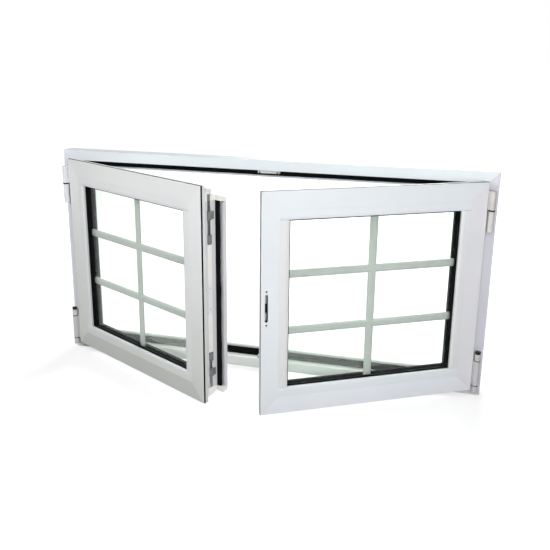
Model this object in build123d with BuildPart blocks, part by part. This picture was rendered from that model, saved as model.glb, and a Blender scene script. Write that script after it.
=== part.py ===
from build123d import *
from math import cos, sin, radians
import os

os.makedirs("parts", exist_ok=True)

# Sizes are in millimetres: x runs along the window, y goes outdoors, z is up.
# The origin is the middle of the sill's underside, half-way through the frame's depth.
frame_width = 1200.0
frame_height = 600.0
frame_depth = 45.0
frame_face = 28.0
flange_reach = 50.8
flange_thickness = 4.5
flange_nib = 2.5
flange_nib_width = 4.0
frame_wall = 2.0
frame_arris = 1.8
leaf_arris = 1.4
mitre_gap = 0.08

# Central gasket of the outer frame, which stands on the rebate before the flange.
gasket_front = 30.0
gasket_height = 17.0
gasket_lip = 4.0
gasket_foot = 24.0
gasket_foot_height = 5.0

# Keeps of the shoot bolts in the frame's head and sill: a block with a cut near each end.
keep_offset = 6.5
keep_length = 58.0
keep_near = 4.0
keep_far = 20.0
keep_height = 7.6
keep_base = 2.0
keep_post = 2.2
keep_cut = 5.0
keep_eye_length = 14.0
keep_eye_width = 8.0
keep_eye_depth = 5.0

# Leaves: widths are measured along the leaf, depths from its room face.
leaf_margin = 22.0
meeting_gap = 3.0
leaf_proud = 15.0
leaf_depth = 47.0
leaf_profile_face = 44.4
leaf_bead_width = 23.6
lip_reach = 14.0
leaf_wall = 1.8
glass_leg_thickness = 4.0
glass_leg_short = 2.0
slot_near = 1.6
slot_far = 7.0
slot_depth = 3.0
lip_gasket_proud = 0.6
groove_near = 20.0
groove_opening = 10.0
groove_cavity = 14.0
groove_lip = 2.0
groove_depth = 7.0

# Opening angles of the two leaves as they stand, in degrees.
left_angle = 29.0
right_angle = 31.3

# Hinge axis, inwards from the frame's edge and out into the room.
hinge_inset = 13.0
hinge_stand = 21.0
barrel_radius = 7.2
pin_radius = 3.5
pin_clearance = 0.1
pin_end_cover = 3.0
neck_clear = 1.0
leaf_neck_near = 7.3
leaf_neck_side = 6.0
leaf_neck_far = 13.0
frame_neck_near = 6.0
frame_neck_far = 19.0
upper_knuckle_top = 43.0
upper_knuckle_long = 47.4
upper_knuckle_low = 53.4
lower_knuckle_base = 17.5
lower_knuckle_end = 17.95
lower_knuckle_long = 68.2
knuckle_arris = 0.6
upper_bush_height = 3.2
upper_bush_radius = 8.0
lower_bush_height = 2.2
cap_rise = 7.0
cap_top_radius = 7.4
cap_base_radius = 6.2

# Insulated glass and its glazing.
bead_depth = 8.0
bead_wall = 1.6
bead_gap = 0.15
bead_slope = 7.0
bead_fall = 1.6
bead_nose = 0.8
seal_thickness = 8.0
glass_thickness = 4.0
cavity_width = 16.0
glass_edge = 52.0
seal_height = 12.0
seal_reveal = 4.0
spacer_height = 15.0
bar_width = 20.0
bar_flat = 10.0
bar_thickness = 8.0
bar_edge = 3.0
lower_bar_share = 0.333
upper_bar_share = 0.672

# Meeting mullion, fixed to the left leaf's closing edge.
mullion_reach = 24.0
mullion_floor = 1.0
mullion_clear = 0.2
mullion_hook = 10.0
mullion_wall = 2.0
mullion_end_inset = 60.0
cap_tip_inset = 36.0
cap_flange_inset = 52.0
mullion_groove_near = 20.5
mullion_gasket_height = 11.3
cap_notch_height = 16.0

# Lock gear in the mullion's groove, mirrored about its middle height.
gear_below_middle = 3.5
rod_width = 13.0
rod_thickness = 2.5
rod_end_gap = 2.0
bolt_tip_width = 9.2
bolt_tip_sink = 0.8
upper_tip_length = 10.0
upper_tip_drop = 45.5
lower_tip_length = 28.0
lever_plate_half = 38.5
lever_hole_offset = 26.2
lever_hole_radius = 1.7
plate_joint = 0.6
plate_rise = 1.6
plate_width = 12.0
upper_plate_length = 98.0
lower_plate_lengths = (45.0, 55.5)
block_length = 24.0
block_rise = 3.0
block_width = 12.0
block_stem = 9.2
block_cut = 3.0

# Keeps on the mullion for the other leaf's lock: a block in the groove with a tab beside it.
keep_block_length = 22.0
keep_block_drop = 84.0
keep_block_rise = 91.0
keep_block_stand = 3.4
keep_tab_width = 8.0
keep_tab_stand = 2.0
keep_tab_short = 1.6

# Handle seat in the right leaf's closing stile.
handle_inset = 13.5
handle_height = 298.6
handle_slot_length = 69.0
handle_slot_width = 8.0
handle_hole_radius = 2.5
handle_hole_spacing = 84.0
rod_bar_width = 6.0
rod_bar_thickness = 3.0
rod_bar_clear = 1.5
lower_rod_length = 19.0
upper_rod_length = 23.0

room_face = -frame_depth / 2
lip_thickness = leaf_proud
leaf_width = (frame_width - 2 * leaf_margin - meeting_gap) / 2
leaf_height = frame_height - 2 * leaf_margin
leaf_border = leaf_profile_face + leaf_bead_width
glass_front = bead_depth + seal_thickness
cavity_front = glass_front + glass_thickness
cavity_back = cavity_front + cavity_width
glass_back = cavity_back + glass_thickness
leg_front = leaf_depth - glass_leg_thickness
mullion_back = frame_depth + leaf_proud
mullion_low = mullion_end_inset
mullion_high = frame_height - mullion_end_inset

upper_top = frame_height - upper_knuckle_top
upper_joint = upper_top - upper_knuckle_long
upper_low = upper_joint - upper_bush_height
upper_knuckles = [(upper_low - upper_knuckle_low, upper_low), (upper_joint, upper_top)]
lower_first = lower_knuckle_base + lower_knuckle_end
lower_middle = lower_first + lower_bush_height
lower_second = lower_middle + lower_knuckle_long
lower_third = lower_second + lower_bush_height
lower_knuckles = [(lower_knuckle_base, lower_first), (lower_middle, lower_second),
                  (lower_third, lower_third + lower_knuckle_end)]

up = Vector(0, 0, 1)
outdoors = Vector(0, 1, 0)


def side_plane(corner, inward, depth):
    # Section plane of one side: x runs inwards, y in depth, z along the side.
    return Plane(origin=corner, x_dir=inward, z_dir=inward.cross(depth))


def cut_mitres(plane, length):
    # Cuts both ends of a bar that starts on the plane, at 45 degrees, a hair short of the next bar.
    start_at = plane.origin + plane.z_dir * mitre_gap
    end_at = plane.origin + plane.z_dir * (length - mitre_gap)
    start = Plane(origin=start_at, z_dir=plane.z_dir - plane.x_dir)
    end = Plane(origin=end_at, z_dir=plane.z_dir + plane.x_dir)
    split(bisect_by=start, keep=Keep.TOP)
    split(bisect_by=end, keep=Keep.BOTTOM)


def patch(x0, y0, x1, y1, mode=Mode.ADD):
    # Rectangle between two corners in the current sketch.
    with Locations(((x0 + x1) / 2, (y0 + y1) / 2)):
        Rectangle(abs(x1 - x0), abs(y1 - y0), mode=mode)


def round_at(points, radius):
    # Rounds the sketch corners that lie at the given points.
    picked = [v for v in vertices() if any(abs(v.X - x) + abs(v.Y - y) < 0.01 for x, y in points)]
    fillet(picked, radius)


def frame_bar(plane, length):
    flange_front = frame_depth - flange_thickness
    nib_from = flange_reach - flange_nib_width
    with BuildSketch(plane) as section:
        patch(0, 0, frame_face, frame_depth)
        patch(frame_face, flange_front, flange_reach, frame_depth)
        patch(nib_from, flange_front - flange_nib, flange_reach, flange_front)
        round_at([(0, 0), (frame_face, 0)], frame_arris)
        patch(frame_wall, frame_wall, frame_face - frame_wall, frame_depth - frame_wall, Mode.SUBTRACT)
    extrude(section.sketch, amount=length)
    cut_mitres(plane, length)


def leaf_bar(plane, length):
    cavity_near = groove_near - (groove_cavity - groove_opening) / 2
    cavity_far = cavity_near + groove_cavity
    cavity_top = lip_reach + groove_lip
    cavity_floor = lip_reach + groove_depth
    outer = lip_reach + leaf_wall
    inner = leaf_profile_face - leaf_wall
    with BuildSketch(plane) as section:
        patch(0, 0, leaf_profile_face, lip_thickness)
        patch(lip_reach, 0, leaf_profile_face, leaf_depth)
        patch(leaf_profile_face, leg_front, leaf_border - glass_leg_short, leaf_depth)
        round_at([(0, 0)], leaf_arris)
        patch(0, slot_near, slot_depth, slot_far, Mode.SUBTRACT)
        patch(slot_depth + leaf_wall, leaf_wall, inner, lip_thickness - leaf_wall, Mode.SUBTRACT)
        patch(lip_reach, groove_near, cavity_floor, groove_near + groove_opening, Mode.SUBTRACT)
        patch(cavity_top, cavity_near, cavity_floor, cavity_far, Mode.SUBTRACT)
        patch(outer, leaf_wall, inner, cavity_near - leaf_wall, Mode.SUBTRACT)
        patch(cavity_floor + leaf_wall, leaf_wall, inner, leaf_depth - leaf_wall, Mode.SUBTRACT)
        patch(outer, cavity_far + leaf_wall, inner, leaf_depth - leaf_wall, Mode.SUBTRACT)
    extrude(section.sketch, amount=length)
    cut_mitres(plane, length)


def bead_bar(plane, length):
    # Hollow snap-in bead whose face falls away gently towards the glass.
    outer = leaf_profile_face + bead_gap
    inner = leaf_border
    with BuildSketch(plane) as section:
        Polygon((outer, 0), (inner - bead_slope, 0), (inner - bead_nose, bead_fall),
                (inner, bead_fall + bead_nose), (inner, bead_depth), (outer, bead_depth), align=None)
        patch(outer + bead_wall, bead_fall + bead_wall, inner - bead_wall,
              bead_depth - bead_wall, Mode.SUBTRACT)
    extrude(section.sketch, amount=length)


def shifted(plane, along):
    # The same section plane, further along its side.
    return Plane(origin=plane.origin + plane.z_dir * along, x_dir=plane.x_dir, z_dir=plane.z_dir)


def ring(leaf, inset, height, near, far):
    # Flat frame in the leaf's plane, with its outer edge at the inset.
    with BuildSketch(leaf.face_plane(near)) as section:
        patch(inset, inset, leaf_width - inset, leaf_height - inset)
        patch(inset + height, inset + height, leaf_width - inset - height,
              leaf_height - inset - height, Mode.SUBTRACT)
    extrude(section.sketch, amount=far - near)


def pane(leaf, near):
    with BuildSketch(leaf.face_plane(near)) as section:
        patch(glass_edge, glass_edge, leaf_width - glass_edge, leaf_height - glass_edge)
    extrude(section.sketch, amount=glass_thickness)


def bar_between(plane, centre, length):
    # Glazing bar with a flat middle and sloping edges, centred in the cavity.
    middle = cavity_front + cavity_width / 2
    side, flat = bar_width / 2, bar_flat / 2
    rise, rim = bar_thickness / 2, bar_edge / 2
    with BuildSketch(plane) as section:
        Polygon((centre - side, middle - rim), (centre - flat, middle - rise),
                (centre + flat, middle - rise), (centre + side, middle - rim),
                (centre + side, middle + rim), (centre + flat, middle + rise),
                (centre - flat, middle + rise), (centre - side, middle + rim), align=None)
    extrude(section.sketch, amount=length)


def glazing_bars(leaf):
    # One upright at mid-width and two level bars, between the panes.
    sides = leaf.sides()
    edge = glass_edge + spacer_height
    inside = leaf_height - 2 * edge
    bar_between(shifted(sides["hinge"], edge), leaf_width / 2, inside)
    for share in (lower_bar_share, upper_bar_share):
        bar_between(shifted(sides["bottom"], edge), edge + inside * share, leaf_width - 2 * edge)


def seals(leaf):
    # Wedge gasket under the beads and flat gasket on the glass leg.
    inset = leaf_border + seal_reveal - seal_height
    ring(leaf, inset, seal_height, bead_depth, glass_front)
    ring(leaf, inset - glass_leg_short, seal_height, glass_back, leg_front)


def level_beads(leaf):
    # Top and bottom beads, from stile to stile.
    start = leaf_profile_face + bead_gap
    for name in ("bottom", "top"):
        bead_bar(shifted(leaf.sides()[name], start), leaf_width - 2 * start)


def upright_beads(leaf):
    # Side beads, cut square between the level ones.
    start = leaf_border + bead_gap
    for name in ("hinge", "lock"):
        bead_bar(shifted(leaf.sides()[name], start), leaf_height - 2 * start)


def barrel(leaf, low, high, radius=barrel_radius):
    # Turned length with a small chamfer at both ends.
    foot = Vector(leaf.axis.X, leaf.axis.Y, low)
    height = high - low
    with BuildSketch(Plane(origin=foot, x_dir=(1, 0, 0), z_dir=(0, -1, 0))) as section:
        Polygon((0, 0), (radius - knuckle_arris, 0), (radius, knuckle_arris),
                (radius, height - knuckle_arris), (radius - knuckle_arris, height), (0, height),
                align=None)
    revolve(section.sketch, axis=Axis(foot, (0, 0, 1)))


def pin_bore(leaf, low, high):
    with BuildSketch(Plane(origin=(leaf.axis.X, leaf.axis.Y, low))) as section:
        Circle(pin_radius + pin_clearance)
    extrude(section.sketch, amount=high - low, mode=Mode.SUBTRACT)


def frame_neck(leaf, low, high):
    # Web from a barrel back to the frame's room face.
    with BuildSketch(Plane.XY.offset(low)) as section:
        patch(leaf.side * (frame_width / 2 - frame_neck_near), leaf.axis.Y,
              leaf.side * (frame_width / 2 - frame_neck_far), room_face)
    extrude(section.sketch, amount=high - low)


def leaf_neck(leaf, low, high):
    # Web from a barrel to the leaf's edge, behind the lip gasket.
    reach = hinge_inset - leaf_margin
    rise = hinge_stand - leaf_proud
    with BuildSketch(leaf.level_plane(low)) as section:
        Polygon((reach - 7.0, -rise + 1.0), (reach + 5.0, -rise + 4.0), (-neck_clear, neck_clear),
                (-neck_clear, leaf_neck_near), (0, leaf_neck_near), (0, leaf_neck_far),
                (reach - 3.0, leaf_neck_side), align=None)
    extrude(section.sketch, amount=leaf.rise(low, high))


class Leaf:
    # Places a leaf: along runs from its hinge edge to its closing edge.
    def __init__(self, side, angle):
        turn = radians(angle)
        self.side = side
        self.along = Vector(-side * cos(turn), -sin(turn), 0)
        self.depth = Vector(-side * sin(turn), cos(turn), 0)
        axis = Vector(side * (frame_width / 2 - hinge_inset), room_face - hinge_stand, 0)
        self.axis = axis
        self.corner = (axis + self.along * (leaf_margin - hinge_inset)
                       + self.depth * (hinge_stand - leaf_proud) + up * leaf_margin)

    def point(self, along, depth, height):
        return self.corner + self.along * along + self.depth * depth + up * height

    def face_plane(self, depth):
        # Plane of the leaf: x along it and y up on the left leaf, mirrored on the right.
        if self.side < 0:
            return Plane(origin=self.point(leaf_width, depth, 0), x_dir=self.along * -1, z_dir=self.depth)
        return Plane(origin=self.point(0, depth, 0), x_dir=self.along, z_dir=self.depth)

    def level_plane(self, level):
        # Horizontal plane whose x runs along the leaf and whose y is its depth.
        start = self.point(0, 0, level - leaf_margin)
        return Plane(origin=start, x_dir=self.along, z_dir=self.along.cross(self.depth))

    def rise(self, low, high):
        # Extrusion that goes up from a level plane.
        return (low - high) * self.side

    def sides(self):
        low_hinge = self.point(0, 0, 0)
        high_hinge = self.point(0, 0, leaf_height)
        low_lock = self.point(leaf_width, 0, 0)
        high_lock = self.point(leaf_width, 0, leaf_height)
        if self.side < 0:
            low, high = low_lock, high_hinge
            hinge, lock = low_hinge, high_lock
        else:
            low, high = low_hinge, high_lock
            hinge, lock = high_hinge, low_lock
        return {
            "bottom": side_plane(low, up, self.depth),
            "top": side_plane(high, up * -1, self.depth),
            "hinge": side_plane(hinge, self.along, self.depth),
            "lock": side_plane(lock, self.along * -1, self.depth),
        }


left_leaf = Leaf(-1, left_angle)
right_leaf = Leaf(1, right_angle)
jamb_corners = {
    "sill": (Vector(frame_width / 2, room_face, 0), up, frame_width),
    "head": (Vector(-frame_width / 2, room_face, frame_height), up * -1, frame_width),
    "left": (Vector(-frame_width / 2, room_face, 0), Vector(1, 0, 0), frame_height),
    "right": (Vector(frame_width / 2, room_face, frame_height), Vector(-1, 0, 0), frame_height),
}


def frame_side(name):
    corner, inward, length = jamb_corners[name]
    frame_bar(side_plane(corner, inward, outdoors), length)


# Outer frame, four mitred lengths of one hollow profile.
with BuildPart() as frame_sill:
    frame_side("sill")

with BuildPart() as frame_head:
    frame_side("head")

with BuildPart() as frame_left_jamb:
    frame_side("left")

with BuildPart() as frame_right_jamb:
    frame_side("right")

# Central gasket, one soft ring swept round the rebate.
with BuildPart() as frame_gasket:
    low_edge = frame_face
    with BuildLine() as gasket_path:
        Polyline((frame_width / 2 - low_edge, room_face, low_edge),
                 (-frame_width / 2 + low_edge, room_face, low_edge),
                 (-frame_width / 2 + low_edge, room_face, frame_height - low_edge),
                 (frame_width / 2 - low_edge, room_face, frame_height - low_edge), close=True)
    back = frame_depth - flange_thickness
    with BuildSketch(Plane(origin=(0, room_face, low_edge), x_dir=(0, 0, 1), z_dir=(-1, 0, 0))):
        Polygon((0, gasket_foot), (gasket_foot_height, gasket_foot + 1.5),
                (gasket_foot_height + 2.0, gasket_front), (gasket_height - gasket_lip, gasket_front + 1.0),
                (gasket_height, gasket_front + gasket_lip), (gasket_height, gasket_front + 6.0),
                (gasket_height - 7.0, back), (0, back), align=None)
    sweep(path=gasket_path, transition=Transition.RIGHT)

# Keeps for the shoot bolts, one on the head's rebate and one on the sill's.
with BuildPart() as shoot_bolt_keeps:
    keep_middle = (keep_near + keep_far) / 2
    cut_offset = keep_length / 2 - keep_post - keep_cut / 2
    for level, turn in ((frame_face, 1), (frame_height - frame_face, -1)):
        seat = Plane(origin=(0, room_face, level), x_dir=(1, 0, 0), z_dir=(0, 0, turn))
        with BuildSketch(seat) as keep_base_face:
            with Locations((keep_offset, turn * keep_middle)):
                Rectangle(keep_length, keep_far - keep_near)
        extrude(keep_base_face.sketch, amount=keep_height)
        with BuildSketch(seat.offset(keep_height)) as keep_cuts:
            for side in (-1, 1):
                with Locations((keep_offset + side * cut_offset, turn * keep_middle)):
                    Rectangle(keep_cut, keep_far - keep_near)
        extrude(keep_cuts.sketch, amount=keep_base - keep_height, mode=Mode.SUBTRACT)
        with BuildSketch(seat.offset(keep_height)) as eye:
            with Locations((keep_offset, turn * keep_middle)):
                SlotOverall(keep_eye_length, keep_eye_width)
        extrude(eye.sketch, amount=-keep_eye_depth, mode=Mode.SUBTRACT)


# Left leaf.
with BuildPart() as left_leaf_top_rail:
    leaf_bar(left_leaf.sides()["top"], leaf_width)

with BuildPart() as left_leaf_bottom_rail:
    leaf_bar(left_leaf.sides()["bottom"], leaf_width)

with BuildPart() as left_leaf_hinge_stile:
    leaf_bar(left_leaf.sides()["hinge"], leaf_height)

with BuildPart() as left_leaf_lock_stile:
    leaf_bar(left_leaf.sides()["lock"], leaf_height)

with BuildPart() as left_leaf_lip_gasket:
    ring(left_leaf, -lip_gasket_proud, slot_depth + lip_gasket_proud, slot_near, slot_far)

with BuildPart() as left_leaf_level_beads:
    level_beads(left_leaf)

with BuildPart() as left_leaf_upright_beads:
    upright_beads(left_leaf)

with BuildPart() as left_leaf_glazing_gaskets:
    seals(left_leaf)

with BuildPart() as left_leaf_inner_glass:
    pane(left_leaf, glass_front)

with BuildPart() as left_leaf_outer_glass:
    pane(left_leaf, cavity_back)

with BuildPart() as left_leaf_spacer:
    ring(left_leaf, glass_edge, spacer_height, cavity_front, cavity_back)

with BuildPart() as left_leaf_glazing_bars:
    glazing_bars(left_leaf)


# Right leaf.
with BuildPart() as right_leaf_top_rail:
    leaf_bar(right_leaf.sides()["top"], leaf_width)

with BuildPart() as right_leaf_bottom_rail:
    leaf_bar(right_leaf.sides()["bottom"], leaf_width)

with BuildPart() as right_leaf_hinge_stile:
    leaf_bar(right_leaf.sides()["hinge"], leaf_height)

# The closing stile has the seat for a handle: a slot and a screw hole at each end.
with BuildPart() as right_leaf_lock_stile:
    leaf_bar(right_leaf.sides()["lock"], leaf_height)
    with BuildSketch(right_leaf.face_plane(0)) as handle_slot:
        with Locations((leaf_width - handle_inset, handle_height - leaf_margin)):
            SlotOverall(handle_slot_length, handle_slot_width, rotation=90)
    extrude(handle_slot.sketch, amount=leaf_wall, mode=Mode.SUBTRACT)
    with BuildSketch(right_leaf.face_plane(0)) as handle_holes:
        with Locations((leaf_width - handle_inset, handle_height - leaf_margin)):
            with GridLocations(0, handle_hole_spacing, 1, 2):
                Circle(handle_hole_radius)
    extrude(handle_holes.sketch, amount=leaf_wall, mode=Mode.SUBTRACT)

# Ends of the two lock rods, seen through the slot on the back wall of the stile's chamber.
with BuildPart() as right_leaf_lock_rods:
    rod_back = lip_thickness - leaf_wall
    slot_low = handle_height - handle_slot_length / 2 + rod_bar_clear
    slot_high = handle_height + handle_slot_length / 2 - rod_bar_clear
    with BuildSketch(right_leaf.face_plane(rod_back - rod_bar_thickness)) as rod_ends:
        for low_end, high_end in ((slot_low, slot_low + lower_rod_length),
                                  (slot_high - upper_rod_length, slot_high)):
            patch(leaf_width - handle_inset - rod_bar_width / 2, low_end - leaf_margin,
                  leaf_width - handle_inset + rod_bar_width / 2, high_end - leaf_margin)
    extrude(rod_ends.sketch, amount=rod_bar_thickness)

with BuildPart() as right_leaf_lip_gasket:
    ring(right_leaf, -lip_gasket_proud, slot_depth + lip_gasket_proud, slot_near, slot_far)

with BuildPart() as right_leaf_level_beads:
    level_beads(right_leaf)

with BuildPart() as right_leaf_upright_beads:
    upright_beads(right_leaf)

with BuildPart() as right_leaf_glazing_gaskets:
    seals(right_leaf)

with BuildPart() as right_leaf_inner_glass:
    pane(right_leaf, glass_front)

with BuildPart() as right_leaf_outer_glass:
    pane(right_leaf, cavity_back)

with BuildPart() as right_leaf_spacer:
    ring(right_leaf, glass_edge, spacer_height, cavity_front, cavity_back)

with BuildPart() as right_leaf_glazing_bars:
    glazing_bars(right_leaf)


# Meeting mullion: hollow body on the leaf's edge, open groove, flange and back hook.
edge = leaf_width - lip_reach
floor = leaf_width + mullion_floor
tip = leaf_width + mullion_reach
near_face = lip_thickness + mullion_clear
flange_front = mullion_back - flange_thickness
groove_bottom = floor - groove_depth
mullion_groove_far = mullion_groove_near + groove_opening
mullion_cavity_near = mullion_groove_near - (groove_cavity - groove_opening) / 2
mullion_cavity_far = mullion_cavity_near + groove_cavity
groove_middle = mullion_groove_near + groove_opening / 2


def edge_view(along):
    # Plane on the left leaf's closing edge: x in depth, y up the window, looking along the leaf.
    return Plane(origin=left_leaf.point(along, 0, -leaf_margin), x_dir=left_leaf.depth,
                 z_dir=left_leaf.depth.cross(up))


def groove_cut():
    patch(groove_bottom, mullion_groove_near, floor, mullion_groove_far, Mode.SUBTRACT)
    patch(groove_bottom, mullion_cavity_near, floor - groove_lip, mullion_cavity_far, Mode.SUBTRACT)


with BuildPart() as meeting_mullion:
    with BuildSketch(left_leaf.level_plane(mullion_low)) as mullion_section:
        patch(edge, near_face, floor, mullion_back)
        patch(floor, flange_front, tip, mullion_back)
        patch(tip - flange_nib_width, flange_front - flange_nib, tip, flange_front)
        patch(edge - mullion_hook, leaf_depth, edge, leaf_depth + mullion_wall)
        groove_cut()
        patch(edge + mullion_wall, mullion_cavity_far + mullion_wall, floor - mullion_wall,
              mullion_back - mullion_wall, Mode.SUBTRACT)
    extrude(mullion_section.sketch, amount=mullion_high - mullion_low)

# Plastic end caps with a sloping top that clears the frame's gasket and flange.
with BuildPart() as mullion_end_caps:
    slope = (cap_flange_inset - cap_tip_inset) / (mullion_back - near_face)
    wing_front = leaf_proud + gasket_front
    wing_inset = cap_tip_inset + slope * (wing_front - near_face)
    for base, turn in ((0.0, 1), (frame_height, -1)):
        end = base + turn * mullion_end_inset
        with BuildSketch(edge_view(edge)) as cap_side:
            Polygon((near_face, end), (mullion_back, end), (mullion_back, base + turn * cap_flange_inset),
                    (near_face, base + turn * cap_tip_inset), align=None)
        extrude(cap_side.sketch, amount=floor - edge)
        with BuildSketch(edge_view(floor)) as cap_wing:
            Polygon((wing_front, end), (mullion_back, end), (mullion_back, base + turn * cap_flange_inset),
                    (wing_front, base + turn * wing_inset), align=None)
        extrude(cap_wing.sketch, amount=tip - floor)
    # The groove runs on into the upper cap.
    with BuildSketch(edge_view(floor)) as cap_notch:
        patch(mullion_groove_near, mullion_high, mullion_groove_far, mullion_high + cap_notch_height)
    extrude(cap_notch.sketch, amount=-groove_depth, mode=Mode.SUBTRACT)

with BuildPart() as mullion_gasket:
    front = leaf_proud + gasket_front
    crest = floor + mullion_gasket_height
    with BuildSketch(left_leaf.level_plane(mullion_low)) as mullion_seal:
        Polygon((floor, front), (crest - gasket_lip, front + 1.0), (crest, front + gasket_lip),
                (crest, front + 6.0), (crest - 6.0, flange_front), (floor, flange_front), align=None)
    extrude(mullion_seal.sketch, amount=mullion_high - mullion_low)


def gear_bar(low, high, width, foot, top):
    # Straight bar in the groove, between two heights.
    with BuildSketch(edge_view(foot)) as bar_face:
        patch(groove_middle - width / 2, low, groove_middle + width / 2, high)
    extrude(bar_face.sketch, amount=top - foot)


gear_middle = frame_height / 2 - gear_below_middle
rod_top = groove_bottom + rod_thickness
upper_plate_low = gear_middle + lever_plate_half + plate_joint
upper_plate_high = upper_plate_low + upper_plate_length
lower_plate_high = gear_middle - lever_plate_half - plate_joint
middle_plate_low = lower_plate_high - lower_plate_lengths[0]
lower_plate_low = middle_plate_low - plate_joint - lower_plate_lengths[1]

# Lock gear: a flat rod deep in the groove, its bolt tips, and the blocks that slide with it.
with BuildPart() as mullion_lock_gear:
    gear_bar(mullion_low + rod_end_gap, mullion_high - rod_end_gap, rod_width, groove_bottom, rod_top)
    rod_low = mullion_low + rod_end_gap
    rod_high = mullion_high - rod_end_gap
    tip_high = frame_height - upper_tip_drop
    tip_low = tip_high - upper_tip_length
    tip_face = floor - bolt_tip_sink
    gear_bar(rod_low, rod_low + lower_tip_length, bolt_tip_width, rod_top, tip_face)
    gear_bar(rod_high, tip_high, bolt_tip_width, groove_bottom, rod_top)
    gear_bar(tip_low, tip_high, bolt_tip_width, rod_top, tip_face)
    for low_end in (lower_plate_low - plate_joint - block_length, upper_plate_high + plate_joint):
        high_end = low_end + block_length
        near_side = groove_middle - block_width / 2
        far_side = groove_middle + block_width / 2
        gear_bar(low_end, high_end, block_stem, rod_top, floor)
        with BuildSketch(edge_view(floor)) as block_face:
            Polygon((near_side + block_cut, low_end), (far_side - block_cut, low_end),
                    (far_side, low_end + block_cut), (far_side, high_end), (near_side, high_end),
                    (near_side, low_end + block_cut), align=None)
        extrude(block_face.sketch, amount=block_rise)
    # Keeps beside the groove.
    for low_end in (keep_block_rise, frame_height - keep_block_drop - keep_block_length):
        high_end = low_end + keep_block_length
        gear_bar(low_end, high_end, block_stem, rod_top, floor)
        gear_bar(low_end, high_end, block_width, floor, floor + keep_block_stand)
        with BuildSketch(edge_view(floor)) as tab_face:
            patch(groove_middle + block_width / 2, low_end + keep_tab_short,
                  groove_middle + block_width / 2 + keep_tab_width, high_end - keep_tab_short)
        extrude(tab_face.sketch, amount=keep_tab_stand)

# Cream plates over the groove, one above the lever plate and two below it.
with BuildPart() as mullion_bolt_plates:
    for low_end, high_end in ((upper_plate_low, upper_plate_high), (middle_plate_low, lower_plate_high),
                              (lower_plate_low, middle_plate_low - plate_joint)):
        gear_bar(low_end, high_end, plate_width, floor, floor + plate_rise)

# Flat plate of the bolt lever, with a screw hole near each end.
with BuildPart() as mullion_lever_plate:
    gear_bar(gear_middle - lever_plate_half, gear_middle + lever_plate_half, plate_width, floor,
             floor + plate_rise)
    with BuildSketch(edge_view(floor)) as lever_holes:
        for offset in (-lever_hole_offset, lever_hole_offset):
            with Locations((groove_middle, gear_middle + offset)):
                Circle(lever_hole_radius)
    extrude(lever_holes.sketch, amount=plate_rise, mode=Mode.SUBTRACT)


def frame_knuckles(leaf):
    # Knuckles that stay on the frame: the lower half above, the two ends below.
    for low, high in (upper_knuckles[0], lower_knuckles[0], lower_knuckles[2]):
        barrel(leaf, low, high)
        frame_neck(leaf, low, high)
    pin_bore(leaf, upper_knuckles[0][0] + pin_end_cover, upper_knuckles[0][1])
    pin_bore(leaf, lower_knuckles[0][0] + pin_end_cover, lower_knuckles[0][1])
    pin_bore(leaf, lower_knuckles[2][0], lower_knuckles[2][1])


def leaf_knuckles(leaf):
    # Knuckles that turn with the leaf: the upper half above, the long middle below.
    for low, high in (upper_knuckles[1], lower_knuckles[1]):
        barrel(leaf, low, high)
        leaf_neck(leaf, low, high)
    pin_bore(leaf, upper_knuckles[1][0], upper_knuckles[1][1] - pin_end_cover)
    pin_bore(leaf, lower_knuckles[1][0], lower_knuckles[1][1])


def pins(leaf):
    barrel(leaf, upper_knuckles[0][0] + pin_end_cover, upper_knuckles[1][1] - pin_end_cover, pin_radius)
    barrel(leaf, lower_knuckles[0][0] + pin_end_cover, lower_knuckles[2][1], pin_radius)


def bushes(leaf):
    # Black rings between the knuckles, and the tapered cap over the lower pin.
    barrel(leaf, upper_knuckles[0][1], upper_knuckles[1][0], upper_bush_radius)
    for below, above in ((lower_knuckles[0], lower_knuckles[1]), (lower_knuckles[1], lower_knuckles[2])):
        barrel(leaf, below[1], above[0])
    for below, above in ((upper_knuckles[0], upper_knuckles[1]), (lower_knuckles[0], lower_knuckles[1]),
                         (lower_knuckles[1], lower_knuckles[2])):
        pin_bore(leaf, below[1], above[0])
    with Locations((leaf.axis.X, leaf.axis.Y, lower_knuckles[2][1] + cap_rise / 2)):
        Cone(cap_base_radius, cap_top_radius, cap_rise)


# Hinges: an upper one with two knuckles and a lower one with three, on each side.
with BuildPart() as left_hinge_frame_knuckles:
    frame_knuckles(left_leaf)

with BuildPart() as left_hinge_leaf_knuckles:
    leaf_knuckles(left_leaf)

with BuildPart() as left_hinge_pins:
    pins(left_leaf)

with BuildPart() as left_hinge_bushes:
    bushes(left_leaf)

with BuildPart() as right_hinge_frame_knuckles:
    frame_knuckles(right_leaf)

with BuildPart() as right_hinge_leaf_knuckles:
    leaf_knuckles(right_leaf)

with BuildPart() as right_hinge_pins:
    pins(right_leaf)

with BuildPart() as right_hinge_bushes:
    bushes(right_leaf)


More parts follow.
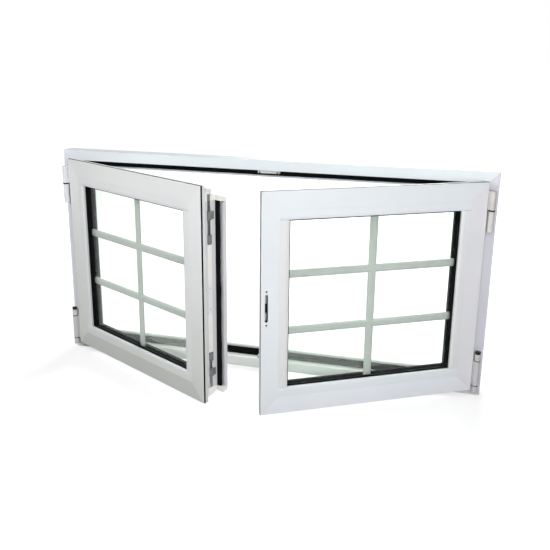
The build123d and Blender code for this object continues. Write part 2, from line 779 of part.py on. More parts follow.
pieces = {
    "frame_sill": frame_sill,
    "frame_head": frame_head,
    "frame_left_jamb": frame_left_jamb,
    "frame_right_jamb": frame_right_jamb,
    "frame_gasket": frame_gasket,
    "shoot_bolt_keeps": shoot_bolt_keeps,
    "left_leaf_top_rail": left_leaf_top_rail,
    "left_leaf_bottom_rail": left_leaf_bottom_rail,
    "left_leaf_hinge_stile": left_leaf_hinge_stile,
    "left_leaf_lock_stile": left_leaf_lock_stile,
    "left_leaf_lip_gasket": left_leaf_lip_gasket,
    "left_leaf_level_beads": left_leaf_level_beads,
    "left_leaf_upright_beads": left_leaf_upright_beads,
    "left_leaf_glazing_gaskets": left_leaf_glazing_gaskets,
    "left_leaf_inner_glass": left_leaf_inner_glass,
    "left_leaf_outer_glass": left_leaf_outer_glass,
    "left_leaf_spacer": left_leaf_spacer,
    "left_leaf_glazing_bars": left_leaf_glazing_bars,
    "right_leaf_top_rail": right_leaf_top_rail,
    "right_leaf_bottom_rail": right_leaf_bottom_rail,
    "right_leaf_hinge_stile": right_leaf_hinge_stile,
    "right_leaf_lock_stile": right_leaf_lock_stile,
    "right_leaf_lock_rods": right_leaf_lock_rods,
    "right_leaf_lip_gasket": right_leaf_lip_gasket,
    "right_leaf_level_beads": right_leaf_level_beads,
    "right_leaf_upright_beads": right_leaf_upright_beads,
    "right_leaf_glazing_gaskets": right_leaf_glazing_gaskets,
    "right_leaf_inner_glass": right_leaf_inner_glass,
    "right_leaf_outer_glass": right_leaf_outer_glass,
    "right_leaf_spacer": right_leaf_spacer,
    "right_leaf_glazing_bars": right_leaf_glazing_bars,
    "meeting_mullion": meeting_mullion,
    "mullion_end_caps": mullion_end_caps,
    "mullion_gasket": mullion_gasket,
    "mullion_lock_gear": mullion_lock_gear,
    "mullion_bolt_plates": mullion_bolt_plates,
    "mullion_lever_plate": mullion_lever_plate,
    "left_hinge_frame_knuckles": left_hinge_frame_knuckles,
    "left_hinge_leaf_knuckles": left_hinge_leaf_knuckles,
    "left_hinge_pins": left_hinge_pins,
    "left_hinge_bushes": left_hinge_bushes,
    "right_hinge_frame_knuckles": right_hinge_frame_knuckles,
    "right_hinge_leaf_knuckles": right_hinge_leaf_knuckles,
    "right_hinge_pins": right_hinge_pins,
    "right_hinge_bushes": right_hinge_bushes,
}

for name, piece in pieces.items():
    piece.part.label = name
    export_step(piece.part, "parts/" + name + ".step")
    print(name, len(piece.part.solids()), round(piece.part.volume))
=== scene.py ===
import bpy
import bmesh
import math
from mathutils import Matrix, Vector, noise as softNoise


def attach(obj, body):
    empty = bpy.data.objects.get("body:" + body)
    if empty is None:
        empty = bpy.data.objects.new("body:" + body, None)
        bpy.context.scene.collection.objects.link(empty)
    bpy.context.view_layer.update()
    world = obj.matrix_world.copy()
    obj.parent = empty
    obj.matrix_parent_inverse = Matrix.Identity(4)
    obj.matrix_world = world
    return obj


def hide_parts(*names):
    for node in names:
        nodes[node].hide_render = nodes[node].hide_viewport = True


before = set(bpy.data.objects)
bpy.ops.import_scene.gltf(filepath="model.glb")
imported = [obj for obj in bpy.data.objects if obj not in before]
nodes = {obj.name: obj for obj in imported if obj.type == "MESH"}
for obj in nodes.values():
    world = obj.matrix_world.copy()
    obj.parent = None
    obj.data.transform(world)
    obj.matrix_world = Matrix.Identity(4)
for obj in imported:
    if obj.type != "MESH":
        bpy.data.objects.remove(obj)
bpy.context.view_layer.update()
scene = bpy.context.scene
print("frame loaded:", len(nodes), "nodes")

# Camera, fitted to the photo by its corners and edges.
cameraSettings = {
    "place": (0.55664, -1.94671, 0.89655),
    "pitchDown": 17.05,
    "turnLeft": 15.33,
    "roll": -0.66,
    "lens": 49.46,  # mm on the sensor below
    "sensor": 36.0,
}


def makeCamera():
    turn = Matrix.Rotation(math.radians(cameraSettings["turnLeft"]), 3, "Z")
    tip = Matrix.Rotation(math.radians(-cameraSettings["pitchDown"]), 3, "X")
    lean = Matrix.Rotation(math.radians(cameraSettings["roll"]), 3, "Y")
    look = turn @ tip @ lean
    right, ahead, upward = look.col[0], look.col[1], look.col[2]
    data = bpy.data.cameras.new("viewCamera")
    data.lens = cameraSettings["lens"]
    data.sensor_width = cameraSettings["sensor"]
    camera = bpy.data.objects.new("viewCamera", data)
    scene.collection.objects.link(camera)
    columns = Matrix((right, upward, -ahead)).transposed()
    camera.matrix_world = Matrix.Translation(cameraSettings["place"]) @ columns.to_4x4()
    scene.camera = camera
    print("camera placed")


# Helpers for the node materials.
def newMaterial(name):
    material = bpy.data.materials.new(name)
    material.use_nodes = True
    tree = material.node_tree
    tree.nodes.clear()
    output = tree.nodes.new("ShaderNodeOutputMaterial")
    shader = tree.nodes.new("ShaderNodeBsdfPrincipled")
    tree.links.new(shader.outputs["BSDF"], output.inputs["Surface"])
    return material, tree, shader, output


def objectPoint(tree, stretch=(1, 1, 1)):
    place = tree.nodes.new("ShaderNodeTexCoord")
    mapping = tree.nodes.new("ShaderNodeMapping")
    mapping.inputs["Scale"].default_value = stretch
    tree.links.new(place.outputs["Object"], mapping.inputs["Vector"])
    return mapping.outputs["Vector"]


def noise(tree, point, scale, detail, roughness=0.55):
    node = tree.nodes.new("ShaderNodeTexNoise")
    node.inputs["Scale"].default_value = scale
    node.inputs["Detail"].default_value = detail
    node.inputs["Roughness"].default_value = roughness
    tree.links.new(point, node.inputs["Vector"])
    return node.outputs["Fac"]


def ramp(tree, factor, reach, first, second):
    # Runs from one colour to another while the factor crosses the reach.
    node = tree.nodes.new("ShaderNodeValToRGB")
    start, end = node.color_ramp.elements[0], node.color_ramp.elements[1]
    start.position, start.color = reach[0], (*first, 1)
    end.position, end.color = reach[1], (*second, 1)
    tree.links.new(factor, node.inputs["Fac"])
    return node.outputs["Color"]


def spread(tree, factor, low, high, fromLow=0.3, fromHigh=0.7):
    node = tree.nodes.new("ShaderNodeMapRange")
    node.inputs["From Min"].default_value = fromLow
    node.inputs["From Max"].default_value = fromHigh
    node.inputs["To Min"].default_value = low
    node.inputs["To Max"].default_value = high
    tree.links.new(factor, node.inputs["Value"])
    return node.outputs["Result"]


def bump(tree, height, strength, distance):
    node = tree.nodes.new("ShaderNodeBump")
    node.inputs["Strength"].default_value = strength
    node.inputs["Distance"].default_value = distance
    tree.links.new(height, node.inputs["Height"])
    return node.outputs["Normal"]


def combine(tree, operation, first, second):
    node = tree.nodes.new("ShaderNodeMath")
    node.operation = operation
    tree.links.new(first, node.inputs[0])
    tree.links.new(second, node.inputs[1])
    return node.outputs["Value"]


def blend(tree, share, under, over):
    node = tree.nodes.new("ShaderNodeMixRGB")
    tree.links.new(share, node.inputs["Fac"])
    tree.links.new(under, node.inputs["Color1"])
    tree.links.new(over, node.inputs["Color2"])
    return node.outputs["Color"]


# Height in metres over which a finish with a low tone turns darker toward the sill: painted shade.
shadeFade = {"low": 0.04, "high": 0.46}


def paintShadeDown(tree, point, upper, shadedLower):
    # Painted shade: the colour blends to the darker low tone toward the sill.
    split = tree.nodes.new("ShaderNodeSeparateXYZ")
    tree.links.new(point, split.inputs["Vector"])
    height = spread(tree, split.outputs["Z"], 0.0, 1.0, shadeFade["low"], shadeFade["high"])
    return blend(tree, height, shadedLower, upper)


# Painted shade: the walls inside the handle seat of the right leaf are painted near black, as shade in the
# recess.
seat = {
    "middle": (0.0945, -0.3345, 0.2986),  # just under the face, on the slot's centre line
    "along": (0.8545, 0.5195, 0.0),
    "inward": (-0.5195, 0.8545, 0.0),
    "up": (0.0, 0.0, 1.0),
    "halfWidth": 0.0066,
    "halfHeight": 0.055,
    "reach": 0.03,
    "edge": 0.0004,
    "dark": (0.010, 0.011, 0.011),
    "pale": (0.022, 0.024, 0.024),
}


def distanceAlong(tree, offset, way):
    node = tree.nodes.new("ShaderNodeVectorMath")
    node.operation = "DOT_PRODUCT"
    tree.links.new(offset, node.inputs[0])
    node.inputs[1].default_value = way
    return node.outputs["Value"]


def paintSeatShade(tree, point, factor, upper):
    # A soft-edged box behind the face is painted dark as shade in the recess, and everything else keeps its
    # coat.
    node = tree.nodes.new("ShaderNodeVectorMath")
    node.operation = "SUBTRACT"
    tree.links.new(point, node.inputs[0])
    node.inputs[1].default_value = seat["middle"]
    offset = node.outputs["Vector"]
    edge = seat["edge"]
    seatShadeMask = spread(tree, distanceAlong(tree, offset, seat["inward"]), 0.0, 1.0, 0.0, 2 * edge)
    box = (
        (seat["inward"], 0.0, seat["reach"]),
        (seat["along"], -seat["halfWidth"], seat["halfWidth"]),
        (seat["up"], -seat["halfHeight"], seat["halfHeight"]),
    )
    for way, low, high in box:
        reached = distanceAlong(tree, offset, way)
        seatShadeMask = combine(tree, "MULTIPLY", seatShadeMask, spread(tree, reached, 1.0, 0.0, high - edge, high))
        seatShadeMask = combine(tree, "MULTIPLY", seatShadeMask, spread(tree, reached, 0.0, 1.0, low, low + edge))
    return blend(tree, seatShadeMask, upper, ramp(tree, factor, (0.3, 0.7), seat["dark"], seat["pale"]))


# Powder coat on the aluminium: orange peel, faint clouds and a few soft scuffs.
coat = {
    "cloudScale": 5.0,
    "cloudDetail": 3.0,
    "cloudReach": (0.30, 0.62),
    "grainScale": 900.0,
    "grainDetail": 2.0,
    "grainStrength": 0.35,
    "grainHeight": 0.00006,
    "scuffScale": 160.0,
    "scuffDetail": 6.0,
    "scuffRoughness": 0.7,
    "roughness": (0.34, 0.46),
    "lowLift": 1.04,
    "shine": 0.40,
}

# All members wear one white coat; these are lit and shaded copies of it, each tone painted to stand for the
# light and shade falling on its member, with the low tones as painted shade toward the sill.
litAndShadedCoats = {
    "whiteCoat": {"pale": (0.815, 0.82, 0.82), "shaded": (0.78, 0.785, 0.785)},
    "dimCoat": {"pale": (0.59, 0.605, 0.575), "shaded": (0.555, 0.57, 0.54)},
    "skyCoat": {"pale": (0.755, 0.79, 0.82), "shaded": (0.72, 0.755, 0.785)},
    "seatCoat": {"pale": (0.755, 0.79, 0.82), "shaded": (0.72, 0.755, 0.785), "seatShade": True},
    "leftCoat": {"pale": (0.80, 0.805, 0.805), "shaded": (0.765, 0.77, 0.77), "low": (0.655, 0.67, 0.64)},
    "iceCoat": {"pale": (0.80, 0.825, 0.87), "shaded": (0.77, 0.795, 0.84)},
    "mistCoat": {"pale": (0.755, 0.755, 0.785), "shaded": (0.72, 0.72, 0.75)},
    "coolCoat": {"pale": (0.76, 0.805, 0.83), "shaded": (0.725, 0.77, 0.795)},
    "warmCoat": {"pale": (0.90, 0.90, 0.875), "shaded": (0.86, 0.86, 0.835)},
    "lockCoat": {"pale": (0.79, 0.795, 0.80), "shaded": (0.755, 0.76, 0.765), "low": (0.635, 0.65, 0.625)},
    "beadCoat": {"pale": (0.755, 0.765, 0.775), "shaded": (0.72, 0.73, 0.74), "low": (0.69, 0.70, 0.70)},
    "mullionCoat": {"pale": (0.69, 0.69, 0.715), "shaded": (0.65, 0.65, 0.675)},
    "lilacCoat": {"pale": (0.76, 0.78, 0.845), "shaded": (0.725, 0.745, 0.81)},
    "duskCoat": {"pale": (0.665, 0.665, 0.73), "shaded": (0.635, 0.635, 0.70)},
    "railCoat": {"pale": (0.77, 0.775, 0.775), "shaded": (0.735, 0.74, 0.74)},
    "barCoat": {"pale": (0.52, 0.545, 0.515), "shaded": (0.475, 0.50, 0.47)},
}


def makeCoat(name, tones):
    material, tree, shader, output = newMaterial(name)
    point = objectPoint(tree)
    clouds = noise(tree, point, coat["cloudScale"], coat["cloudDetail"])
    grain = noise(tree, point, coat["grainScale"], coat["grainDetail"])
    scuffs = noise(tree, point, coat["scuffScale"], coat["scuffDetail"], coat["scuffRoughness"])
    color = ramp(tree, clouds, coat["cloudReach"], tones["shaded"], tones["pale"])
    # Painted shade: a low tone darkens the coat toward the sill.
    if "low" in tones:
        lifted = [part * coat["lowLift"] for part in tones["low"]]
        shadedLower = ramp(tree, clouds, coat["cloudReach"], tones["low"], lifted)
        color = paintShadeDown(tree, point, color, shadedLower)
    # Painted shade inside the handle seat.
    if "seatShade" in tones:
        color = paintSeatShade(tree, point, clouds, color)
    grainNormal = bump(tree, grain, coat["grainStrength"], coat["grainHeight"])
    tree.links.new(color, shader.inputs["Base Color"])
    tree.links.new(spread(tree, scuffs, *coat["roughness"]), shader.inputs["Roughness"])
    tree.links.new(grainNormal, shader.inputs["Normal"])
    shader.inputs["Specular IOR Level"].default_value = coat["shine"]
    return material


# Gaskets: near black, matt, with a little grey dust.
rubber = {
    "dark": (0.0035, 0.0038, 0.0042),
    "dusty": (0.0085, 0.0090, 0.0095),
    "dustScale": 38.0,
    "dustDetail": 5.0,
    "dustRoughness": 0.65,
    "dustReach": (0.35, 0.75),
    "poreScale": 700.0,
    "poreDetail": 3.0,
    "poreStrength": 0.4,
    "poreDepth": 0.00008,
    "roughness": (0.62, 0.82),
    "shine": 0.05,
}


def makeRubber():
    material, tree, shader, output = newMaterial("blackRubber")
    point = objectPoint(tree)
    dust = noise(tree, point, rubber["dustScale"], rubber["dustDetail"], rubber["dustRoughness"])
    pores = noise(tree, point, rubber["poreScale"], rubber["poreDetail"])
    color = ramp(tree, dust, rubber["dustReach"], rubber["dark"], rubber["dusty"])
    poreNormal = bump(tree, pores, rubber["poreStrength"], rubber["poreDepth"])
    tree.links.new(color, shader.inputs["Base Color"])
    tree.links.new(spread(tree, dust, *rubber["roughness"]), shader.inputs["Roughness"])
    tree.links.new(poreNormal, shader.inputs["Normal"])
    shader.inputs["Specular IOR Level"].default_value = rubber["shine"]
    return material


# Float glass: clear, with a faint green tint and faint smears.
glass = {
    "clear": (0.925, 0.970, 0.935),
    "smeared": (0.910, 0.960, 0.925),
    "shadowTint": (0.97, 0.985, 0.978),
    "smearScale": 9.0,
    "smearDetail": 3.0,
    "smearReach": (0.3, 0.7),
    "roughness": (0.0, 0.012),
    "index": 1.45,
}


def makeGlass():
    # Shadow rays and diffuse rays pass straight through.
    material, tree, shader, output = newMaterial("clearGlass")
    smear = noise(tree, objectPoint(tree), glass["smearScale"], glass["smearDetail"])
    color = ramp(tree, smear, glass["smearReach"], glass["smeared"], glass["clear"])
    tree.links.new(color, shader.inputs["Base Color"])
    tree.links.new(spread(tree, smear, *glass["roughness"]), shader.inputs["Roughness"])
    shader.inputs["Transmission Weight"].default_value = 1.0
    shader.inputs["IOR"].default_value = glass["index"]
    clear = tree.nodes.new("ShaderNodeBsdfTransparent")
    clear.inputs["Color"].default_value = (*glass["shadowTint"], 1)
    path = tree.nodes.new("ShaderNodeLightPath")
    through = combine(tree, "MAXIMUM", path.outputs["Is Shadow Ray"], path.outputs["Is Diffuse Ray"])
    mixed = tree.nodes.new("ShaderNodeMixShader")
    tree.links.new(through, mixed.inputs["Fac"])
    tree.links.new(shader.outputs["BSDF"], mixed.inputs[1])
    tree.links.new(clear.outputs["BSDF"], mixed.inputs[2])
    tree.links.new(mixed.outputs["Shader"], output.inputs["Surface"])
    return material


# Black spacer between the panes, with rows of breather holes.
spacer = {
    "dark": (0.012, 0.014, 0.015),
    "pale": (0.018, 0.021, 0.022),
    "grainScale": 120.0,
    "grainDetail": 4.0,
    "grainReach": (0.35, 0.7),
    "roughness": (0.42, 0.6),
    "holeScale": 260.0,
    "holeEdge": (0.12, 0.3),
    "holeStrength": 0.5,
    "holeDepth": 0.0003,
    "shine": 0.0,
}


def makeSpacer():
    material, tree, shader, output = newMaterial("blackSpacer")
    point = objectPoint(tree)
    grain = noise(tree, point, spacer["grainScale"], spacer["grainDetail"])
    color = ramp(tree, grain, spacer["grainReach"], spacer["dark"], spacer["pale"])
    holes = tree.nodes.new("ShaderNodeTexVoronoi")
    holes.inputs["Scale"].default_value = spacer["holeScale"]
    holes.inputs["Randomness"].default_value = 0.0
    tree.links.new(point, holes.inputs["Vector"])
    pits = spread(tree, holes.outputs["Distance"], 0.0, 1.0, *spacer["holeEdge"])
    pitNormal = bump(tree, pits, spacer["holeStrength"], spacer["holeDepth"])
    tree.links.new(color, shader.inputs["Base Color"])
    tree.links.new(spread(tree, grain, *spacer["roughness"]), shader.inputs["Roughness"])
    tree.links.new(pitNormal, shader.inputs["Normal"])
    shader.inputs["Specular IOR Level"].default_value = spacer["shine"]
    return material


# Zinc-plated steel of the lock gear, drawn along its length.
steel = {
    "drawn": (1, 1, 0.04),
    "grainScale": 1400.0,
    "grainDetail": 3.0,
    "grainStrength": 0.25,
    "grainHeight": 0.00006,
    "blotchScale": 70.0,
    "blotchDetail": 5.0,
    "blotchRoughness": 0.6,
    "blotchReach": (0.3, 0.7),
    "roughness": (0.34, 0.52),
    "metal": 0.6,
}
steels = {
    "greySteel": {"dark": (0.20, 0.21, 0.19), "pale": (0.33, 0.35, 0.32)},
    # Painted light: the lock rods wear a paler, lit copy of the gear's steel, against the shade of the
    # handle seat.
    "litRodSteel": {"dark": (0.46, 0.47, 0.45), "pale": (0.62, 0.63, 0.61)},
}


def makeSteel(name, tones):
    material, tree, shader, output = newMaterial(name)
    grain = noise(tree, objectPoint(tree, steel["drawn"]), steel["grainScale"], steel["grainDetail"])
    point = objectPoint(tree)
    blotch = noise(tree, point, steel["blotchScale"], steel["blotchDetail"], steel["blotchRoughness"])
    color = ramp(tree, blotch, steel["blotchReach"], tones["dark"], tones["pale"])
    grainNormal = bump(tree, grain, steel["grainStrength"], steel["grainHeight"])
    tree.links.new(color, shader.inputs["Base Color"])
    tree.links.new(spread(tree, grain, *steel["roughness"]), shader.inputs["Roughness"])
    tree.links.new(grainNormal, shader.inputs["Normal"])
    shader.inputs["Metallic"].default_value = steel["metal"]
    return material


# Moulded plastic of caps, plates, keeps and bushes, and the smooth paint of the hinge barrels.
plastic = {
    "cloudScale": 24.0,
    "cloudDetail": 4.0,
    "cloudReach": (0.3, 0.7),
    "grainScale": 1100.0,
    "grainDetail": 2.0,
    "grainStrength": 0.3,
    "grainHeight": 0.00005,
    "lowLift": 1.08,
}
plastics = {
    # The two hinge coats are lit and shaded copies of one hinge paint, painted light and shade; their low
    # tones are painted shade toward the sill.
    "leftHingeCoat": {
        "dark": (0.76, 0.75, 0.79), "pale": (0.82, 0.81, 0.85), "low": (0.56, 0.57, 0.55),
        "roughness": (0.32, 0.45), "shine": 0.5,
    },
    "rightHingeCoat": {
        "dark": (0.56, 0.545, 0.52), "pale": (0.64, 0.625, 0.60), "low": (0.51, 0.51, 0.51),
        "roughness": (0.32, 0.45), "shine": 0.5,
    },
    "creamPlastic": {
        "dark": (0.85, 0.83, 0.79), "pale": (0.91, 0.895, 0.86),
        "roughness": (0.38, 0.52), "shine": 0.5,
    },
    "greyPlastic": {
        "dark": (0.52, 0.53, 0.53), "pale": (0.66, 0.67, 0.67),
        "roughness": (0.4, 0.55), "shine": 0.5,
    },
    "blackPlastic": {
        "dark": (0.006, 0.006, 0.007), "pale": (0.018, 0.018, 0.019),
        "roughness": (0.4, 0.55), "shine": 0.3,
    },
}


def makePlastic(name, tones):
    material, tree, shader, output = newMaterial(name)
    point = objectPoint(tree)
    clouds = noise(tree, point, plastic["cloudScale"], plastic["cloudDetail"])
    grain = noise(tree, point, plastic["grainScale"], plastic["grainDetail"])
    color = ramp(tree, clouds, plastic["cloudReach"], tones["dark"], tones["pale"])
    # Painted shade: a low tone darkens the paint toward the sill.
    if "low" in tones:
        lifted = [part * plastic["lowLift"] for part in tones["low"]]
        shadedLower = ramp(tree, clouds, plastic["cloudReach"], tones["low"], lifted)
        color = paintShadeDown(tree, point, color, shadedLower)
    grainNormal = bump(tree, grain, plastic["grainStrength"], plastic["grainHeight"])
    tree.links.new(color, shader.inputs["Base Color"])
    tree.links.new(spread(tree, clouds, *tones["roughness"]), shader.inputs["Roughness"])
    tree.links.new(grainNormal, shader.inputs["Normal"])
    shader.inputs["Specular IOR Level"].default_value = tones["shine"]
    return material


def makeFinishes():
    made = {"blackRubber": makeRubber(), "clearGlass": makeGlass(), "blackSpacer": makeSpacer()}
    for maker, table in ((makeCoat, litAndShadedCoats), (makeSteel, steels), (makePlastic, plastics)):
        for name, tones in table.items():
            made[name] = maker(name, tones)
    print("finishes made:", len(made))
    return made


# Which finish each CAD node wears: by its own name, or by how its name ends.
# The coat each member wears carries painted light and shade for that member.
finishOf = {
    "frame_head": "coolCoat",
    "frame_sill": "warmCoat",
    "frame_left_jamb": "lilacCoat",
    "frame_right_jamb": "duskCoat",
    "left_leaf_top_rail": "railCoat",
    "left_leaf_bottom_rail": "dimCoat",
    "left_leaf_hinge_stile": "leftCoat",
    "left_leaf_lock_stile": "lockCoat",
    "left_leaf_level_beads": "beadCoat",
    "meeting_mullion": "mullionCoat",
    "right_leaf_top_rail": "skyCoat",
    "right_leaf_bottom_rail": "iceCoat",
    "right_leaf_hinge_stile": "mistCoat",
    "right_leaf_lock_stile": "seatCoat",
    "right_leaf_level_beads": "skyCoat",
    "right_leaf_lock_rods": "litRodSteel",
    "mullion_lock_gear": "greySteel",
    "mullion_end_caps": "creamPlastic",
    "mullion_bolt_plates": "creamPlastic",
    "shoot_bolt_keeps": "greyPlastic",
    "left_hinge_frame_knuckles": "leftHingeCoat",
    "left_hinge_leaf_knuckles": "leftHingeCoat",
    "right_hinge_frame_knuckles": "rightHingeCoat",
    "right_hinge_leaf_knuckles": "rightHingeCoat",
}
finishByEnding = {
    "upright_beads": "beadCoat",
    "glazing_bars": "barCoat",
    "glass": "clearGlass",
    "spacer": "blackSpacer",
    "gasket": "blackRubber",
    "gaskets": "blackRubber",
    "pins": "greySteel",
    "bushes": "blackPlastic",
}


def finishFor(name):
    for ending, finish in finishByEnding.items():
        if name.endswith(ending):
            return finish
    return finishOf.get(name, "whiteCoat")


def dressNodes():
    for name, obj in nodes.items():
        finish = finishes[finishFor(name)]
        if not obj.material_slots:
            obj.data.materials.append(finish)
        for slot in obj.material_slots:
            slot.material = finish
    print("nodes dressed:", len(nodes))


# Places in mm that the rubber gaskets follow.
window = {
    "frameCorner": (-600.0, -22.5, 0.0),  # low left corner of the room face
    "frameSize": (1200.0, 600.0),
    "hingeAxis": (587.0, -43.5),
    "leafAngles": {"left": 29.0, "right": 31.3},
    "leafFromAxis": (9.0, 6.0),  # along the leaf and in depth
    "leafMargin": 22.0,
    "leafSize": (576.5, 556.0),
}
millimetre = 0.001
up = Vector((0, 0, 1))


def frameSides(corner, along, depth, size):
    # Each side has its start corner, inward way, depth, run and length.
    width, height = size
    return [
        (corner, up, depth, along, width),
        (corner + along * width + up * height, -up, depth, -along, width),
        (corner + up * height, along, depth, -up, height),
        (corner + along * width, -along, depth, up, height),
    ]


def leafAxes(side):
    sign = -1 if side == "left" else 1
    turn = math.radians(window["leafAngles"][side])
    along = Vector((-sign * math.cos(turn), -math.sin(turn), 0))
    depth = Vector((-sign * math.sin(turn), math.cos(turn), 0))
    axisX, axisY = window["hingeAxis"]
    fromEdge, fromFace = window["leafFromAxis"]
    axis = Vector((sign * axisX, axisY, window["leafMargin"]))
    return axis + along * fromEdge + depth * fromFace, along, depth


# How every soft bar is made, in mm.
softBars = {
    "overrun": 20.0,  # extra length at each end, which the mitre cuts off
    "endCalm": 60.0,  # the wave dies away within this of an end
    "roundSteps": 2,
    "sideways": 0.5,  # share of the wave that goes in depth
    "weldDistance": 0.0001,
}


def lengthwiseEdges(build):
    return [edge for edge in build.edges if abs(edge.verts[0].co.z - edge.verts[1].co.z) > 1]


def extrudeSection(build, section, low, high):
    face = build.faces.new([build.verts.new((x, y, low)) for x, y in section])
    grown = bmesh.ops.extrude_face_region(build, geom=[face])["geom"]
    moved = [part for part in grown if isinstance(part, bmesh.types.BMVert)]
    bmesh.ops.translate(build, verts=moved, vec=(0, 0, high - low))


def waveBar(build, design, length):
    root, crest = design["section"][0][0], design["crest"]
    for vert in build.verts:
        lift = min(1.0, max(0.0, (vert.co.x - root) / (crest - root)))
        fromEnd = min(vert.co.z, length - vert.co.z)
        lift *= min(1.0, max(0.0, fromEnd / softBars["endCalm"]))
        wave = softNoise.noise(Vector((vert.co.z / design["wave"], design["seed"], 0.5)))
        vert.co.x += design["height"] * lift * wave
        vert.co.y += softBars["sideways"] * design["height"] * lift * wave


def mitreBar(build, length):
    for level, lean in ((0.0, -1.0), (length, 1.0)):
        whole = build.verts[:] + build.edges[:] + build.faces[:]
        cut = bmesh.ops.bisect_plane(build, geom=whole, dist=softBars["weldDistance"],
                                     plane_co=(0, 0, level), plane_no=(1, 0, lean),
                                     clear_outer=True)["geom_cut"]
        rim = [part for part in cut if isinstance(part, bmesh.types.BMEdge)]
        bmesh.ops.holes_fill(build, edges=rim, sides=0)


def softBar(design, side, mitred=True):
    # The section is extruded, rounded, cut into steps, waved, mitred and put in its place.
    corner, inward, depth, run, length = side
    over = softBars["overrun"] if mitred else 0.0
    build = bmesh.new()
    extrudeSection(build, design["section"], -over, length + over)
    bmesh.ops.bevel(build, geom=lengthwiseEdges(build), offset=design["round"], offset_type="OFFSET",
                    segments=softBars["roundSteps"], profile=0.5, affect="EDGES", clamp_overlap=True,
                    material=-1)
    bmesh.ops.subdivide_edges(build, edges=lengthwiseEdges(build), cuts=design["steps"], use_grid_fill=True)
    waveBar(build, design, length)
    if mitred:
        mitreBar(build, length)
    bmesh.ops.recalc_face_normals(build, faces=build.faces)
    place = Matrix((inward, depth, run)).transposed().to_4x4()
    place.translation = corner
    bmesh.ops.transform(build, matrix=Matrix.Scale(millimetre, 4) @ place, verts=build.verts)
    if place.determinant() < 0:
        bmesh.ops.reverse_faces(build, faces=build.faces)
    return build


def softRing(design, sides):
    return [softBar(design, side) for side in sides]


def rubberPiece(name, nodeName, bars):
    # Joins the bars into one object at the origin that stands for a CAD node.
    joined = bmesh.new()
    for bar in bars:
        carrier = bpy.data.meshes.new("carrier")
        bar.to_mesh(carrier)
        bar.free()
        joined.from_mesh(carrier)
        bpy.data.meshes.remove(carrier)
    mesh = bpy.data.meshes.new(name)
    joined.to_mesh(mesh)
    joined.free()
    for polygon in mesh.polygons:
        polygon.use_smooth = True
    mesh.materials.append(finishes["blackRubber"])
    piece = bpy.data.objects.new(name, mesh)
    scene.collection.objects.link(piece)
    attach(piece, "root")
    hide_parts(nodeName)


# Central gasket of the outer frame: section points are inset and depth in mm.
frameGasket = {
    "section": [(28.0, 24.0), (32.5, 25.0), (33.6, 28.6), (36.0, 29.8), (41.0, 30.6), (44.6, 33.2),
                (45.0, 35.6), (43.2, 37.0), (40.8, 34.8), (37.4, 34.4), (36.4, 36.6), (37.6, 40.4),
                (28.0, 40.4)],
    "round": 0.5, "steps": 90, "crest": 45.0, "height": 0.5, "wave": 70.0, "seed": 1.3,
}


def makeFrameGasket():
    corner = Vector(window["frameCorner"])
    sides = frameSides(corner, Vector((1, 0, 0)), Vector((0, 1, 0)), window["frameSize"])
    rubberPiece("frame_gasket_rubber", "frame_gasket", softRing(frameGasket, sides))


# Thin lip round the edge of each leaf.
lipGasket = {
    "section": [(3.5, 1.7), (0.3, 1.65), (-0.35, 2.3), (-0.6, 3.4), (-0.6, 5.2), (-0.35, 6.3), (0.3, 6.95),
                (3.5, 6.9)],
    "round": 0.2, "steps": 60, "crest": -0.6, "height": 0.12, "wave": 45.0, "seed": 4.1,
}

# Glazing wedge between bead and glass, and flat seal behind the glass.
frontSeal = {
    "section": [(60.0, 8.05), (70.6, 8.05), (71.7, 8.8), (72.0, 10.6), (71.3, 15.9), (60.0, 15.9)],
    "round": 0.4, "steps": 60, "crest": 72.0, "height": 0.25, "wave": 60.0, "seed": 7.7,
}
backSeal = {
    "section": [(58.0, 40.1), (69.2, 40.1), (69.8, 41.4), (69.4, 42.9), (58.0, 42.9)],
    "round": 0.3, "steps": 40, "crest": 70.0, "height": 0.2, "wave": 60.0, "seed": 9.2,
}


def makeLeafGaskets(side):
    corner, along, depth = leafAxes(side)
    sides = frameSides(corner, along, depth, window["leafSize"])
    rubberPiece(side + "_lip_rubber", side + "_leaf_lip_gasket", softRing(lipGasket, sides))
    seals = softRing(frontSeal, sides) + softRing(backSeal, sides)
    rubberPiece(side + "_glazing_rubber", side + "_leaf_glazing_gaskets", seals)


# Upright gasket of the meeting mullion, with a slightly wavy crest.
mullionGasket = {
    "section": [(577.5, 45.0), (581.6, 45.2), (585.6, 46.2), (588.6, 49.0), (588.7, 51.4), (587.0, 53.4),
                (583.8, 51.8), (582.4, 53.4), (583.4, 55.4), (577.5, 55.4)],
    "round": 0.5, "steps": 110, "crest": 588.7, "height": 3.0, "wave": 52.0, "seed": 2.6,
    "low": 60.0, "high": 540.0,  # heights between which it runs
}


def makeMullionGasket():
    corner, along, depth = leafAxes("left")
    low, high = mullionGasket["low"], mullionGasket["high"]
    side = (Vector((corner.x, corner.y, low)), along, depth, up, high - low)
    rubberPiece("mullion_rubber", "mullion_gasket", [softBar(mullionGasket, side, mitred=False)])


def makeGaskets():
    makeFrameGasket()
    for side in ("left", "right"):
        makeLeafGaskets(side)
    makeMullionGasket()
    print("gaskets made")


# Pale floor and white surroundings.
stage = {
    "floorSize": 40.0,
    "floorColor": (0.5, 0.5, 0.5),
    "nearLift": 0.60,  # plain white added for the eye only, so that the shadow stays
    "farLift": 1.0,
    "liftRange": (0.9, 1.9),  # metres from the middle
    "worldColor": (0.97, 0.985, 1.0),
    "worldLight": 0.10,
}


def seenByEye(tree, amount=None):
    # One for rays through glass, and one or the given amount for camera rays.
    path = tree.nodes.new("ShaderNodeLightPath")
    direct = path.outputs["Is Camera Ray"]
    if amount:
        direct = combine(tree, "MULTIPLY", direct, amount)
    return combine(tree, "MAXIMUM", direct, path.outputs["Is Transmission Ray"])


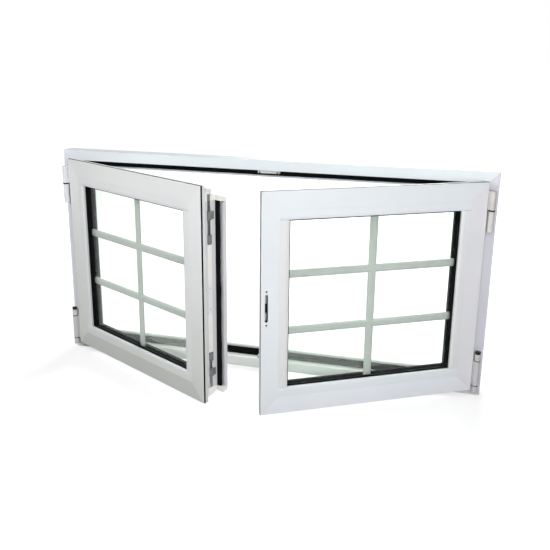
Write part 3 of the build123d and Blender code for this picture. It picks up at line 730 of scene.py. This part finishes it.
def makeFloor():
    mesh = bpy.data.meshes.new("paleFloor")
    build = bmesh.new()
    bmesh.ops.create_grid(build, x_segments=1, y_segments=1, size=stage["floorSize"])
    build.to_mesh(mesh)
    build.free()
    floor = bpy.data.objects.new("paleFloor", mesh)
    scene.collection.objects.link(floor)
    material = bpy.data.materials.new("paleFloor")
    material.use_nodes = True
    tree = material.node_tree
    tree.nodes.clear()
    output = tree.nodes.new("ShaderNodeOutputMaterial")
    matt = tree.nodes.new("ShaderNodeBsdfDiffuse")
    matt.inputs["Color"].default_value = (*stage["floorColor"], 1)
    glow = tree.nodes.new("ShaderNodeEmission")
    glow.inputs["Color"].default_value = (1, 1, 1, 1)
    away = tree.nodes.new("ShaderNodeVectorMath")
    away.operation = "LENGTH"
    tree.links.new(objectPoint(tree), away.inputs[0])
    amount = spread(tree, away.outputs["Value"], stage["nearLift"], stage["farLift"], *stage["liftRange"])
    tree.links.new(seenByEye(tree, amount), glow.inputs["Strength"])
    both = tree.nodes.new("ShaderNodeAddShader")
    tree.links.new(matt.outputs["BSDF"], both.inputs[0])
    tree.links.new(glow.outputs["Emission"], both.inputs[1])
    tree.links.new(both.outputs["Shader"], output.inputs["Surface"])
    floor.data.materials.append(material)


def makeWorld():
    world = bpy.data.worlds.new("whiteRoom")
    scene.world = world
    world.use_nodes = True
    tree = world.node_tree
    tree.nodes.clear()
    output = tree.nodes.new("ShaderNodeOutputWorld")
    soft = tree.nodes.new("ShaderNodeBackground")
    soft.inputs["Color"].default_value = (*stage["worldColor"], 1)
    soft.inputs["Strength"].default_value = stage["worldLight"]
    white = tree.nodes.new("ShaderNodeBackground")
    white.inputs["Color"].default_value = (1, 1, 1, 1)
    mixed = tree.nodes.new("ShaderNodeMixShader")
    tree.links.new(seenByEye(tree), mixed.inputs["Fac"])
    tree.links.new(soft.outputs["Background"], mixed.inputs[1])
    tree.links.new(white.outputs["Background"], mixed.inputs[2])
    tree.links.new(mixed.outputs["Shader"], output.inputs["Surface"])


# Round soft lamps; the low one isn't mirrored, because its reflection would cross a glazing bar.
lamps = {
    "leftFar": {"place": (-2.2, -1.8, 1.8), "aim": (0.0, 0.0, 0.3), "size": 1.4, "power": 22.0},
    "nearLeft": {"place": (-0.7, -1.1, 1.2), "aim": (-0.2, -0.1, 0.4), "size": 0.7, "power": 7.4},
    "midRight": {"place": (0.6, -1.3, 0.9), "aim": (0.3, -0.1, 0.3), "size": 0.8, "power": 9.0},
    "lowRight": {"place": (1.05, -1.12, 0.52), "aim": (0.2, -0.1, 0.2), "size": 0.5, "power": 4.2},
    "behind": {"place": (0.0, 2.2, 2.0), "aim": (0.0, 0.0, 0.3), "size": 1.6, "power": 82.0},
}
unmirroredLamp = "lowRight"


def makeLamps():
    for name, lamp in lamps.items():
        data = bpy.data.lights.new(name, "AREA")
        data.shape = "DISK"
        data.size = lamp["size"]
        data.energy = lamp["power"]
        light = bpy.data.objects.new(name, data)
        scene.collection.objects.link(light)
        aim = Vector(lamp["aim"]) - Vector(lamp["place"])
        turn = aim.to_track_quat("-Z", "Y").to_matrix().to_4x4()
        light.matrix_world = Matrix.Translation(lamp["place"]) @ turn
        light.visible_glossy = name != unmirroredLamp
    print("lamps placed:", len(lamps))


makeCamera()
finishes = makeFinishes()
dressNodes()
makeGaskets()
makeFloor()
makeWorld()
makeLamps()

scene.view_settings.view_transform = "Standard"
